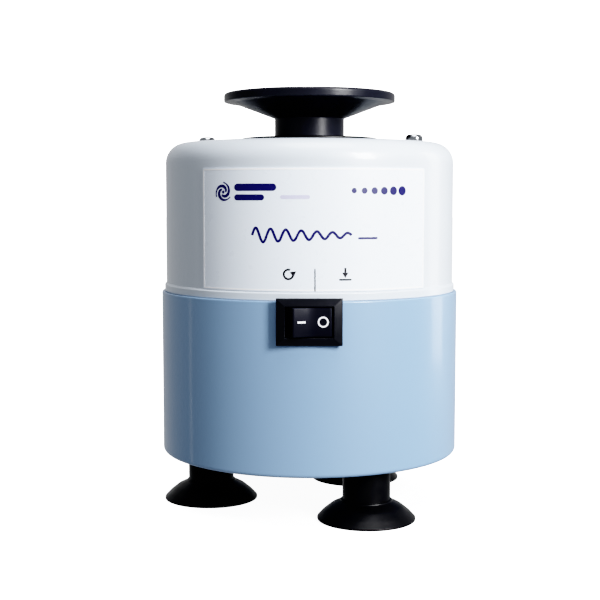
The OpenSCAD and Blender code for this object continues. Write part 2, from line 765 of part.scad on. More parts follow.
// Hub on the shaft with the crank pin that carries the platform's bearing
module eccentric_hub() color("Gainsboro") difference() {
    union() {
        rod(hub_r, hub_z, hub_top);
        at_orbit() rod(pin_r, hub_top - eps, bearing_z);
        at_orbit() rod(bearing_r[0], bearing_z - eps, bearing_z + bearing_h);
    }
    rod(shaft_r, hub_z - 1, shaft_top);
    at_orbit() rod(post_screw_r, bearing_z - 4, bearing_z + bearing_h + 1);
    translate([0, 0, hub_middle]) rotate([-90, 0, 0]) cylinder(r = 1.5, h = hub_r + 2);
}

// Crescent opposite the crank pin
module counterweight() color("SlateGray") difference() {
    translate([0, 0, hub_z + 0.4]) rotate(15) rotate_extrude(angle = 150)
        translate([hub_r, 0]) square([weight_t, hub_top - hub_z - 0.8]);
    translate([0, 0, hub_middle]) rotate([-90, 0, 0]) cylinder(r = 1.6, h = 30);
    translate([0, hub_r + 6, hub_middle]) rotate([-90, 0, 0]) cylinder(r = 3, h = 10);
}

// Long screw through the counterweight and the hub that bears on the shaft
module hub_screw() color("DimGray")
    translate([0, 0, hub_middle]) rotate([-90, 0, 0]) difference() {
        union() {
            rod(1.5, shaft_r, hub_r + 6);
            rod(2.75, hub_r + 6, hub_r + 9);
        }
        hex_rod(2.5, hub_r + 7.4, hub_r + 10);
    }

module race_groove() translate([pitch_r, bearing_z + bearing_h / 2]) circle(ball_r + 0.02);

module bearing_inner_race() color("Silver") at_orbit() rotate_extrude() difference() {
    translate([bearing_r[0], bearing_z]) square([race_t, bearing_h]);
    race_groove();
}

module bearing_outer_race() color("Silver") at_orbit() rotate_extrude() difference() {
    translate([bearing_r[1] - race_t, bearing_z]) square([race_t, bearing_h]);
    race_groove();
}

module at_balls() {
    at_orbit() for (k = [0 : ball_count - 1]) rotate(360 * k / ball_count)
        translate([pitch_r, 0, bearing_z + bearing_h / 2]) children();
}

module bearing_balls() color("Gainsboro") at_balls() sphere(ball_r);

module bearing_cage() color("Peru") difference() {
    at_orbit() tube(pitch_r + 0.7, pitch_r - 0.7, bearing_z + 0.4, bearing_z + bearing_h - 0.4);
    at_balls() translate([-1.5, 0, 0]) rotate([0, 90, 0]) cylinder(r = ball_r + 0.1, h = 3);
}

// Screw and washer that hold the bearing on the crank pin
module bearing_screw() color("Silver") at_orbit() translate([0, 0, bearing_z + bearing_h]) {
    rod(4.2, 0, 0.6 + eps);
    translate([0, 0, 0.6]) pan_screw(post_screw_r, 10, 2.8, 2);
}

// ---- platform ------------------------------------------------------------

// Rubber moulding: neck, conical underside, rim and dished top
module platform() color([0.12, 0.12, 0.13]) at_orbit() rotate_extrude($fn = 180) difference() {
    union() {
        translate([0, neck_z]) square([neck_r, cone_z[1] - neck_z]);
        polygon([[0, cone_z[0]], [neck_r, cone_z[0]], [cone_r, cone_z[1]], [platform_r, rim_z],
            [0, rim_z]]);
        disc_profile(platform_r, rim_z, platform_z, 0, rim_round);
    }
    ball = (dish[0] * dish[0] + dish[1] * dish[1]) / (2 * dish[1]);
    translate([0, platform_z - dish[1] + ball]) circle(ball, $fn = 360);
    translate([0, neck_z - 1]) square([insert_r, insert_top - neck_z + 1]);
}

// Metal cup in the neck that holds the bearing's outer race
module head_insert() color("LightGray") at_orbit() difference() {
    rod(insert_r, neck_z, insert_top);
    rod(bearing_r[1], neck_z - 1, bearing_z + bearing_h);
    rod(seat_r, neck_z, insert_top - 1);
}

// Spool pressed in from below: it holds the bearing, and the boot's lip lies in its groove
module bearing_retainer() color("LightGray") at_orbit() difference() {
    union() {
        rod(neck_r, retainer_z[0], retainer_z[1]);
        rod(groove_r, retainer_z[0], neck_z);
        rod(bearing_r[1], neck_z, bearing_z);
    }
    rod(retainer_hole_r, retainer_z[0] - 1, neck_z);
    rod(seat_r, neck_z - eps, bearing_z + 1);
}

// Rubber boot: flange on the cover, tube down through its hole, lip in to the head
module neck_boot() color([0.1, 0.1, 0.1]) rotate_extrude($fn = 120) difference() {
    union() {
        disc_profile(boot_flange[0], cover_z, cover_z + boot_flange[1], 0, 0.4);
        translate([0, lip_z[0]]) square([boot_tube_r[1], cover_z - lip_z[0]]);
        disc_profile(boot_bead[0], cover_z - wall - boot_bead[1], cover_z - wall, 0.6, 0);
    }
    translate([0, lip_z[1]]) square([boot_tube_r[0], 20]);
    square([groove_r + orbit + 0.3, cover_z + 5]);
}

lower_housing();
upper_cover();
front_label();
cover_screws();
cover_posts();
post_screws();
foot_left();
foot_front();
foot_back();
foot_studs();
chassis_pillars();
plate_screws();
motor_plate();
neck_boot();
stator_core();
coil_limb();
coil_bobbin();
coil_winding();
shading_rings();
lower_motor_bracket();
upper_motor_bracket();
lower_bush();
upper_bush();
motor_bolts();
motor_spacers();
spring_bracket();
bracket_screws();
return_spring();
microswitch_case();
microswitch_screws();
microswitch_terminals();
switch_case();
switch_terminals();
cord_grommet();
terminal_block();
terminal_screws();
earth_stud();
switch_leads();
coil_leads();
earth_lead();
touch_plunger();
thrust_ball();
motor_shaft();
rotor_core();
rotor_end_rings();
shaft_clip();
eccentric_hub();
hub_screw();
counterweight();
bearing_inner_race();
bearing_screw();
bearing_balls();
bearing_cage();
platform();
head_insert();
bearing_outer_race();
bearing_retainer();
switch_rocker();
microswitch_lever();
microswitch_button();
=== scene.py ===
"""Looks of the vortex mixer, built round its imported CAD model. Lengths are in metres."""
import json
import math

import bmesh
import bpy
from mathutils import Matrix, Vector

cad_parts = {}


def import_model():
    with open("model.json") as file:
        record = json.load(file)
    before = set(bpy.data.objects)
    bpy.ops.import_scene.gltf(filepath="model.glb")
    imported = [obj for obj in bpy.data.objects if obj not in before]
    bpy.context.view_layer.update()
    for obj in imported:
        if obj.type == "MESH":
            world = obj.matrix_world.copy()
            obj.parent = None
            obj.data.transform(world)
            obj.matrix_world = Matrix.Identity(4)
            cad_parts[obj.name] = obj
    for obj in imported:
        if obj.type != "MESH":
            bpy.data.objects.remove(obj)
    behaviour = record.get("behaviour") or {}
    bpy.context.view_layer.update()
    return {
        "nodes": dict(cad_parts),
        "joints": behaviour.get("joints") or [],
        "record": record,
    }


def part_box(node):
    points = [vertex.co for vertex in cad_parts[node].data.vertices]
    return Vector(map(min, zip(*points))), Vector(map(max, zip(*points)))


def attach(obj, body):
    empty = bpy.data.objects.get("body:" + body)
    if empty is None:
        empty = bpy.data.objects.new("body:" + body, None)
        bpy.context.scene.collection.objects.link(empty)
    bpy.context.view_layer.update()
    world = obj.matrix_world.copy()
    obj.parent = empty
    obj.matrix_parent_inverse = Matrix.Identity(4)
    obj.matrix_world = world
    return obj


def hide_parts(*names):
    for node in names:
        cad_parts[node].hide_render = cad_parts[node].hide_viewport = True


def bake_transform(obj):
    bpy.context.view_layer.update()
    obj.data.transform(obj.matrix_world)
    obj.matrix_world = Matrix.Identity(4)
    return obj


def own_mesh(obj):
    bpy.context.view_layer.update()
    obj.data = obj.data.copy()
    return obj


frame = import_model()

MM = 0.001

# ---- dimensions, from the frame ---------------------------------------------------

housing_low, housing_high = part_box("lower_housing")
cover_low, cover_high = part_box("upper_cover")
label_low, label_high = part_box("front_label")
platform_low, platform_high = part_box("platform")
boot_low, boot_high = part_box("neck_boot")
case_low, case_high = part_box("switch_case")
spring_low, spring_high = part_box("return_spring")
grommet_low, grommet_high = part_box("cord_grommet")
joint_at = {j["name"]: Vector(j["pos_m"]) for j in frame["joints"] if "pos_m" in j}

HOUSING_R = housing_high.x
WALL = 2 * MM
FLOOR_Z = housing_low.z + WALL + 0.5 * MM
SEAM_Z = housing_high.z
COVER_FLARE = 0.6 * MM
COVER_R = cover_high.x - COVER_FLARE
SHOULDER = 7 * MM
CORNER, LIP = 1.2 * MM, 0.5 * MM
SKIRT_R = HOUSING_R - WALL - 0.2 * MM
BAND_H = 2.35 * MM
NECK_HOLE_R = 16.2 * MM
FILM_T = 0.25 * MM
FEET = ("foot_left", "foot_front", "foot_back")
SCREW_CIRCLE = 37.8 * MM
SCREW_ANGLES = (-17.5, 167.5)
GROMMET_Z = (grommet_low.z + grommet_high.z) / 2
SWITCH_Z = (case_low.z + case_high.z) / 2
HEAD_AXIS = Vector((0, (platform_low.y + platform_high.y) / 2, 0))


# ---- meshes -----------------------------------------------------------------------

def new_object(name, bm):
    """An object made of bm, with its faces turned outwards."""
    bmesh.ops.recalc_face_normals(bm, faces=bm.faces)
    mesh = bpy.data.meshes.new(name)
    bm.to_mesh(mesh)
    bm.free()
    piece = bpy.data.objects.new(name, mesh)
    bpy.context.scene.collection.objects.link(piece)
    return piece


def rounded(corners, steps=6):
    """The outline through corners (x, z, radius), closed, with an arc of that radius at each corner.
    A guard point stands just before and after each arc, so that flat faces shade flat."""
    points = []
    for i, (x, z, radius) in enumerate(corners):
        here = Vector((x, z))
        if radius == 0:
            points.append(here)
            continue
        before = (Vector(corners[i - 1][:2]) - here)
        after = (Vector(corners[(i + 1) % len(corners)][:2]) - here)
        half = before.angle(after) / 2
        reach = radius / math.tan(half)
        back, on = before.normalized(), after.normalized()
        centre = here + (back + on).normalized() * radius / math.sin(half)
        start, end = here + back * reach - centre, here + on * reach - centre
        first = math.atan2(start.y, start.x)
        turn = (math.atan2(end.y, end.x) - first + math.pi) % (2 * math.pi) - math.pi
        guard = 0.25 * radius
        if before.length > reach + 2 * guard:
            points.append(here + back * (reach + guard))
        for k in range(steps + 1):
            angle = first + turn * k / steps
            points.append(centre + radius * Vector((math.cos(angle), math.sin(angle))))
        if after.length > reach + 2 * guard:
            points.append(here + on * (reach + guard))
    return points


def lathe(name, points, steps=192, closed=True):
    """A solid turned about Z from (r, z) points. Points with r = 0 lie on the axis."""
    bm = bmesh.new()
    rings = []
    for r, z in points:
        if r < 1e-7:
            rings.append([bm.verts.new((0, 0, z))])
        else:
            rings.append([bm.verts.new((r * math.cos(2 * math.pi * k / steps),
                                        r * math.sin(2 * math.pi * k / steps), z))
                          for k in range(steps)])
    pairs = list(zip(rings, rings[1:]))
    if closed and len(rings[0]) > 1 and len(rings[-1]) > 1:
        pairs.append((rings[-1], rings[0]))
    for low, high in pairs:
        if len(low) == 1 and len(high) == 1:
            continue
        for k in range(steps):
            m = (k + 1) % steps
            corners = [low[k % len(low)], low[m % len(low)], high[m % len(high)], high[k % len(high)]]
            bm.faces.new(list(dict.fromkeys(corners)))
    return new_object(name, bm)


def slab(bm, top, low):
    """A closed solid between two loops that match point for point."""
    top = [bm.verts.new(point) for point in top]
    low = [bm.verts.new(point) for point in low]
    bm.faces.new(top)
    bm.faces.new(list(reversed(low)))
    for k in range(len(top)):
        m = (k + 1) % len(top)
        bm.faces.new((top[k], low[k], low[m], top[m]))


def block(low, high):
    """A box between two corners, used as a cutter."""
    bm = bmesh.new()
    bmesh.ops.create_cube(bm, size=1)
    size, middle = Vector(high) - Vector(low), (Vector(high) + Vector(low)) / 2
    bmesh.ops.scale(bm, vec=size, verts=bm.verts)
    bmesh.ops.translate(bm, vec=middle, verts=bm.verts)
    return new_object("cutter", bm)


def rod(radius, low, high):
    """A cylinder about Z, used as a cutter."""
    return lathe("cutter", [(0, low), (radius, low), (radius, high), (0, high)], 48, closed=False)


def place(piece, at=(0, 0, 0), turn=0.0, tilt=0.0):
    """Moves a piece's mesh: tilted about X, turned about Z, then shifted. Angles are in degrees."""
    piece.data.transform(Matrix.Translation(Vector(at)) @ Matrix.Rotation(math.radians(turn), 4, "Z")
                         @ Matrix.Rotation(math.radians(tilt), 4, "X"))
    return piece


def freeze(piece):
    """Applies every modifier of a piece."""
    bpy.context.view_layer.update()
    shown = piece.evaluated_get(bpy.context.evaluated_depsgraph_get())
    mesh = bpy.data.meshes.new_from_object(shown)
    piece.modifiers.clear()
    piece.data = mesh
    return piece


def combine(piece, others, operation="DIFFERENCE"):
    """Cuts the other pieces out of a piece, or joins them to it, and removes them."""
    for other in others:
        modifier = piece.modifiers.new("cut", "BOOLEAN")
        modifier.operation = operation
        modifier.solver = "EXACT"
        modifier.object = other
    freeze(piece)
    for other in others:
        bpy.data.objects.remove(other)
    return piece


def bevel(piece, width, segments, angle):
    """Rounds the edges that turn by more than angle."""
    modifier = piece.modifiers.new("bevel", "BEVEL")
    modifier.width = width
    modifier.segments = segments
    modifier.limit_method = "ANGLE"
    modifier.angle_limit = math.radians(angle)
    return freeze(piece)


def smooth(piece, angle=35):
    """Smooth shading, with an edge left sharp where it turns by more than angle."""
    piece.data.polygons.foreach_set("use_smooth", [True] * len(piece.data.polygons))
    piece.data.set_sharp_from_angle(angle=math.radians(angle))
    return piece


def complete(piece, material, body="chassis", stands_for=(), angle=35):
    """Shades a piece, gives it its material, and rides it on its body."""
    smooth(piece, angle)
    piece.data.materials.clear()
    piece.data.materials.append(material)
    if stands_for:
        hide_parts(*stands_for)
    if body:
        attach(piece, body)
    return piece


# ---- materials --------------------------------------------------------------------

def linear(r, g, b):
    """A display colour, 0 to 255, as the scene's linear colour."""
    def one(v):
        v /= 255
        return v / 12.92 if v <= 0.04045 else ((v + 0.055) / 1.055) ** 2.4
    return one(r), one(g), one(b), 1.0


class Surface:
    """A procedural material on the object's own coordinates. Each method adds one kind of detail."""

    def __init__(self, name, colour, roughness, metallic=0.0, coat=0.0, specular=0.5):
        self.material = bpy.data.materials.new(name)
        self.material.use_nodes = True
        self.nodes = self.material.node_tree.nodes
        self.links = self.material.node_tree.links
        self.shader = self.nodes["Principled BSDF"]
        inputs = self.shader.inputs
        inputs["Base Color"].default_value = colour
        inputs["Roughness"].default_value = roughness
        inputs["Metallic"].default_value = metallic
        inputs["Coat Weight"].default_value = coat
        inputs["Coat Roughness"].default_value = 0.08
        inputs["Specular IOR Level"].default_value = specular
        self.colour = colour
        self.place = self.nodes.new("ShaderNodeTexCoord").outputs["Object"]
        self.height = None

    def stretched(self, scale):
        node = self.nodes.new("ShaderNodeMapping")
        node.inputs["Scale"].default_value = scale
        self.links.new(self.place, node.inputs["Vector"])
        return node.outputs["Vector"]

    def noise(self, scale, detail=3.0, stretch=(1, 1, 1)):
        node = self.nodes.new("ShaderNodeTexNoise")
        node.inputs["Scale"].default_value = scale
        node.inputs["Detail"].default_value = detail
        self.links.new(self.stretched(stretch), node.inputs["Vector"])
        return node.outputs["Fac"]

    def bands(self, per_metre, axis="Z"):
        node = self.nodes.new("ShaderNodeTexWave")
        node.wave_type = "BANDS"
        node.bands_direction = axis
        node.inputs["Scale"].default_value = per_metre / 20 * math.pi
        self.links.new(self.place, node.inputs["Vector"])
        return node.outputs["Fac"]

    def ranged(self, value, low, high, start=0.3, end=0.7):
        node = self.nodes.new("ShaderNodeMapRange")
        node.inputs["From Min"].default_value = start
        node.inputs["From Max"].default_value = end
        node.inputs["To Min"].default_value = low
        node.inputs["To Max"].default_value = high
        self.links.new(value, node.inputs["Value"])
        return node.outputs["Result"]

    def tint(self, amount, other):
        """Mixes another colour into the base colour by amount."""
        socket = self.shader.inputs["Base Color"]
        node = self.nodes.new("ShaderNodeMix")
        node.data_type = "RGBA"
        node.inputs[6].default_value = self.colour
        if socket.is_linked:
            self.links.new(socket.links[0].from_socket, node.inputs[6])
        node.inputs[7].default_value = other
        self.links.new(amount, node.inputs[0])
        self.links.new(node.outputs[2], socket)
        return self

    def mottle(self, scale, strength, other, stretch=(1, 1, 1)):
        return self.tint(self.ranged(self.noise(scale, 4, stretch), 0, strength), other)

    def gloss(self, scale, low, high, stretch=(1, 1, 1)):
        """Roughness that varies between low and high."""
        self.links.new(self.ranged(self.noise(scale, 4, stretch), low, high), self.shader.inputs["Roughness"])
        return self

    def relief(self, value, depth):
        """Adds a height map of that depth in metres."""
        node = self.nodes.new("ShaderNodeBump")
        node.inputs["Strength"].default_value = 1
        node.inputs["Distance"].default_value = depth
        self.links.new(value, node.inputs["Height"])
        if self.height is not None:
            self.links.new(self.height, node.inputs["Normal"])
        self.height = node.outputs["Normal"]
        self.links.new(self.height, self.shader.inputs["Normal"])
        return self

    def grain(self, scale, depth, stretch=(1, 1, 1)):
        return self.relief(self.noise(scale, 3, stretch), depth)

    def wear(self, colour, start=0.54, end=0.6, strength=0.6):
        """Worn or polished convex edges, broken up by noise."""
        point = self.nodes.new("ShaderNodeNewGeometry").outputs["Pointiness"]
        edge = self.ranged(point, 0, strength, start, end)
        rubbed = self.ranged(self.noise(900, 5), 0, 1, 0.4, 0.6)
        both = self.nodes.new("ShaderNodeMath")
        both.operation = "MULTIPLY"
        self.links.new(edge, both.inputs[0])
        self.links.new(rubbed, both.inputs[1])
        return self.tint(both.outputs[0], colour)


def paint(name, colour, shade, chip):
    """Gloss enamel on drawn metal: orange peel, faint waves of the drawing, dust and rubbed edges."""
    s = Surface(name, colour, 0.4, coat=0.3)
    s.shader.inputs["Coat Roughness"].default_value = 0.12
    s.mottle(9, 0.6, shade).mottle(260, 0.15, shade)
    s.gloss(24, 0.38, 0.43)
    s.grain(1500, 0.0000025).grain(30, 0.00006)
    return s.wear(chip, 0.56, 0.64, 0.35).material


def metal(name, colour, shade, roughness, brushed=(1, 1, 1), grain=0.000006):
    s = Surface(name, colour, roughness, metallic=1.0)
    s.mottle(180, 0.6, shade, brushed).gloss(400, roughness * 0.8, roughness * 1.3, brushed)
    return s.grain(2200, grain, brushed).material


def moulded(name, colour, shade, roughness, specular=0.5, texture=0.00001, polish=None):
    """Moulded plastic or rubber, with a fine texture and slightly worn edges."""
    s = Surface(name, colour, roughness, specular=specular)
    s.mottle(130, 0.5, shade).gloss(220, roughness * 0.85, roughness * 1.2)
    s.grain(2600, texture).grain(160, texture * 3)
    if polish:
        s.wear(polish, 0.53, 0.62, 0.5)
    return s.material


def ink(name, colour, thin):
    """Printing ink, a little thinner in places."""
    s = Surface(name, colour, 0.42)
    s.mottle(1500, 0.6, thin).gloss(500, 0.36, 0.5)
    return s.grain(3000, 0.000002).material


def laminated(name, colour, shade):
    """Stacked steel sheets, half a millimetre each."""
    s = Surface(name, colour, 0.5, metallic=0.85)
    s.tint(s.ranged(s.bands(2000), 0, 0.7), shade).mottle(90, 0.5, linear(92, 74, 62))
    return s.relief(s.bands(2000), 0.00006).gloss(200, 0.4, 0.6).material


def wound(name, colour, shade):
    """Enamelled wire, wound in turns side by side along X."""
    s = Surface(name, colour, 0.3, metallic=0.8)
    s.tint(s.ranged(s.bands(2800, "X"), 0, 0.8), shade).mottle(150, 0.3, shade)
    return s.relief(s.bands(2800, "X"), 0.0001).gloss(300, 0.24, 0.36).material


GREY, BLACK = linear(120, 122, 126), linear(16, 16, 19)
SLOT_MATERIALS = {
    "housing_paint": paint("housing_paint", linear(130, 158, 191), linear(126, 155, 188),
                           linear(158, 176, 198)),
    "cover_paint": paint("cover_paint", linear(203, 211, 220), linear(199, 208, 218), linear(186, 193, 201)),
    "label_film": moulded("label_film", linear(232, 240, 250), linear(228, 238, 250), 0.3, texture=0.000002),
    "screw_chrome": metal("screw_chrome", linear(205, 208, 212), GREY, 0.16),
    "zinc_steel": metal("zinc_steel", linear(188, 192, 196), linear(150, 152, 150), 0.32),
    "plate_steel": metal("plate_steel", linear(168, 170, 173), GREY, 0.38, (1, 12, 1)),
    "black_rubber": moulded("black_rubber", linear(18, 18, 22), linear(14, 14, 17), 0.4, 0.3,
                            0.000012, linear(34, 35, 40)),
    "head_rubber": moulded("head_rubber", linear(34, 35, 43), linear(27, 28, 35), 0.32, 0.3,
                           0.00001, linear(40, 43, 52)),
    "laminations": laminated("laminations", linear(104, 106, 112), linear(52, 53, 58)),
    "bobbin_plastic": moulded("bobbin_plastic", linear(226, 222, 206), linear(214, 208, 188), 0.5),
    "winding": wound("winding", linear(178, 96, 52), linear(96, 42, 20)),
    "copper": metal("copper", linear(196, 128, 92), linear(150, 88, 60), 0.34),
    "die_cast": metal("die_cast", linear(178, 180, 184), linear(146, 148, 152), 0.48, grain=0.00002),
    "bronze": metal("bronze", linear(170, 132, 84), linear(128, 96, 58), 0.44, grain=0.00002),
    "spring_steel": metal("spring_steel", linear(172, 174, 178), GREY, 0.26, (1, 1, 6)),
    "switch_plastic": moulded("switch_plastic", linear(26, 27, 33), linear(20, 21, 27), 0.34, 0.3,
                              0.000006, linear(34, 35, 42)),
    "rocker_plastic": moulded("rocker_plastic", linear(28, 29, 38), linear(24, 25, 33), 0.42, 0.15,
                              0.000004, linear(40, 41, 50)),
    "micro_plastic": moulded("micro_plastic", linear(34, 33, 33), BLACK, 0.5),
    "micro_button": moulded("micro_button", linear(168, 30, 26), linear(138, 22, 20), 0.34),
    "contact_metal": metal("contact_metal", linear(204, 184, 138), linear(168, 148, 104), 0.3),
    "block_plastic": moulded("block_plastic", linear(220, 216, 202), linear(206, 200, 182), 0.5),
    "lead_black": moulded("lead_black", linear(30, 30, 31), BLACK, 0.45),
    "lead_red": moulded("lead_red", linear(160, 34, 28), linear(132, 26, 22), 0.45),
    "lead_earth": moulded("lead_earth", linear(150, 178, 40), linear(62, 128, 46), 0.45),
    "acetal": moulded("acetal", linear(228, 228, 224), linear(214, 214, 208), 0.36),
    "ground_steel": metal("ground_steel", linear(196, 198, 202), GREY, 0.14, (1, 1, 9)),
    "dark_steel": metal("dark_steel", linear(78, 80, 84), BLACK, 0.4),
    "hub_steel": metal("hub_steel", linear(184, 186, 190), GREY, 0.28, (1, 1, 9)),
    "cage_brass": metal("cage_brass", linear(196, 162, 96), linear(156, 122, 62), 0.3),
}
NAVY = ink("ink_navy", linear(22, 18, 84), linear(30, 28, 96))
GREYED = ink("ink_grey", linear(196, 196, 224), linear(204, 204, 230))
INK_BLACK = ink("ink_black", linear(18, 18, 26), linear(26, 26, 36))
INK_WHITE = ink("ink_white", linear(252, 252, 254), linear(246, 248, 252))
MARK_WHITE = ink("mark_white", linear(246, 246, 250), linear(238, 239, 245))

slot_of = {part["node"]: part["material_slot"] for part in frame["record"]["subparts"]}
for node, piece in frame["nodes"].items():
    piece.data.materials.clear()
    piece.data.materials.append(SLOT_MATERIALS[slot_of[node]])


# ---- housings ---------------------------------------------------------------------

def switch_notch(top):
    """What the switch's body passes through."""
    half_w, half_h, inner = 9.7 * MM, 6.5 * MM, 44 * MM
    return block((-half_w, -HOUSING_R - 2 * MM, SWITCH_Z - half_h), (half_w, -inner, top))


def at_angle(cutter, circle, angle):
    return place(cutter, (circle * math.cos(math.radians(angle)), circle * math.sin(math.radians(angle)), 0))


def foot_middle(node):
    low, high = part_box(node)
    return (low.x + high.x) / 2, (low.y + high.y) / 2, 0


def lower_housing():
    low, inner = housing_low.z, HOUSING_R - WALL
    shell = lathe("housing_shell", rounded([
        (0, low, 0), (HOUSING_R, low, CORNER), (HOUSING_R, SEAM_Z, LIP), (inner, SEAM_Z, 0.25 * MM),
        (inner, FLOOR_Z, 1 * MM), (0, FLOOR_Z, 0)], 8), 240, closed=False)
    holes = [place(rod(2.2 * MM, low - MM, FLOOR_Z + MM), foot_middle(node)) for node in FEET]
    throat = place(rod(5 * MM, HOUSING_R - 6 * MM, HOUSING_R + 3 * MM), (0, 0, GROMMET_Z), tilt=-90)
    combine(shell, [switch_notch(SEAM_Z + MM), throat] + holes)
    return complete(shell, SLOT_MATERIALS["housing_paint"], stands_for=["lower_housing"])


def upper_cover():
    top, inner, band = cover_high.z, COVER_R - WALL, COVER_R + COVER_FLARE
    shell = lathe("cover_shell", rounded([
        (SKIRT_R, cover_low.z, 0.3 * MM), (SKIRT_R, SEAM_Z, 0), (band, SEAM_Z, 0.35 * MM),
        (band, SEAM_Z + BAND_H, 0.35 * MM), (COVER_R, SEAM_Z + BAND_H + COVER_FLARE, 0.35 * MM),
        (COVER_R, top, SHOULDER), (NECK_HOLE_R, top, 0.3 * MM), (NECK_HOLE_R, top - WALL, 0.3 * MM),
        (inner, top - WALL, SHOULDER - WALL), (inner, cover_low.z, 0.3 * MM)], 10), 240)
    holes = [at_angle(rod(1.7 * MM, top - 5 * MM, top + MM), SCREW_CIRCLE, a) for a in SCREW_ANGLES]
    combine(shell, [switch_notch(SEAM_Z + 0.05 * MM)] + holes)
    return complete(shell, SLOT_MATERIALS["cover_paint"], stands_for=["upper_cover"])


# ---- label and its printing -------------------------------------------------------

LABEL_R = COVER_R + FILM_T
LABEL_START = math.asin(label_low.x / LABEL_R)
LABEL_END = math.asin(label_high.x / LABEL_R)
INK_T, INK_SUNK = 0.035 * MM, 0.05 * MM


def wrap(s, z, radius):
    """A point on the cover's front: s is the length round it from the middle, towards +X."""
    angle = s / LABEL_R
    return Vector((radius * math.sin(angle), -radius * math.cos(angle), z))


def front_label():
    """The film: a curved sheet with rounded corners, built as rows of points across it."""
    left, right = LABEL_START * LABEL_R, LABEL_END * LABEL_R
    low, high, corner = label_low.z, label_high.z, 0.4 * MM
    bm = bmesh.new()
    columns = []
    count = 96
    stations = [left + (right - left) * k / count for k in range(count + 1)]
    stations += [left + corner * f for f in (0.02, 0.1, 0.25, 0.5)]
    stations += [right - corner * f for f in (0.02, 0.1, 0.25, 0.5)]
    for s in sorted(stations):
        edge = max(0.0, corner - min(s - left, right - s))
        cut = corner - math.sqrt(max(0.0, corner ** 2 - edge ** 2))
        columns.append([bm.verts.new(wrap(s, low + cut, COVER_R - 0.02 * MM)),
                        bm.verts.new(wrap(s, low + cut, LABEL_R)),
                        bm.verts.new(wrap(s, high - cut, LABEL_R)),
                        bm.verts.new(wrap(s, high - cut, COVER_R - 0.02 * MM))])
    for a, b in zip(columns, columns[1:]):
        for k in range(4):
            m = (k + 1) % 4
            bm.faces.new((a[k], b[k], b[m], a[m]))
    for end in (columns[0], columns[-1]):
        bm.faces.new(end)
    piece = new_object("label_film", bm)
    return complete(piece, SLOT_MATERIALS["label_film"], stands_for=["front_label"])


def ribbon(points, width, closed=False):
    """Flat strip along points (s, z). width is a number, or a function of the share of the way along."""
    last = len(points) - 1
    sides = []
    for i, p in enumerate(points):
        before = points[i - 1] if i or closed else p
        after = points[(i + 1) % len(points)] if i < last or closed else p
        along = (Vector(after) - Vector(before)).normalized()
        across = Vector((-along.y, along.x)) * (width(i / last) if callable(width) else width) / 2
        sides.append((Vector(p) - across, Vector(p) + across))
    pairs = list(zip(sides, sides[1:])) + ([(sides[-1], sides[0])] if closed else [])
    return [[a[0], b[0], b[1], a[1]] for a, b in pairs]


def disc(middle, radius):
    """A round dot, as a list of one shape."""
    sides = 28
    turn = 2 * math.pi / sides
    return [[Vector(middle) + radius * Vector((math.cos(turn * k), math.sin(turn * k)))
             for k in range(sides)]]


def bar(left, right, z, height):
    """Horizontal bar with round ends."""
    count = max(2, int((right - left) / (0.6 * MM)))
    line = [(left + (right - left) * k / count, z) for k in range(count + 1)]
    ends = disc((left, z), height / 2) + disc((right, z), height / 2)
    return ribbon(line, height) + ends


def arc(middle, radius, start, end, count=32):
    angles = [math.radians(start + (end - start) * k / count) for k in range(count + 1)]
    return [(middle[0] + radius * math.cos(a), middle[1] + radius * math.sin(a)) for a in angles]


def arrow_head(tip, direction, size):
    along = Vector(direction).normalized()
    across = Vector((-along.y, along.x))
    back = Vector(tip) - along * size
    return [[Vector(tip), back + across * size * 0.6, back - across * size * 0.6]]


def printed(name, shapes, material):
    """Presses flat shapes onto the label as thin solid ink."""
    bm = bmesh.new()
    for shape in shapes:
        slab(bm, [wrap(p[0], p[1], LABEL_R + INK_T) for p in shape],
             [wrap(p[0], p[1], LABEL_R - INK_SUNK) for p in shape])
    piece = new_object(name, bm)
    return complete(piece, material)


def swirl(middle, radius):
    """Three curved arms that close in on a middle, the sign of a vortex."""
    shapes = disc(middle, radius * 0.16)
    arms, steps, sweep = 3, 24, 210
    for arm in range(arms):
        line = []
        for k in range(steps + 1):
            share = k / steps
            angle = math.radians(360 / arms * arm + sweep * share)
            reach = radius * (0.3 + 0.7 * share)
            line.append((middle[0] + reach * math.cos(angle), middle[1] + reach * math.sin(angle)))
        shapes += ribbon(line, lambda share: radius * (0.12 + 0.2 * math.sin(math.pi * min(1, share + 0.1))))
    return shapes


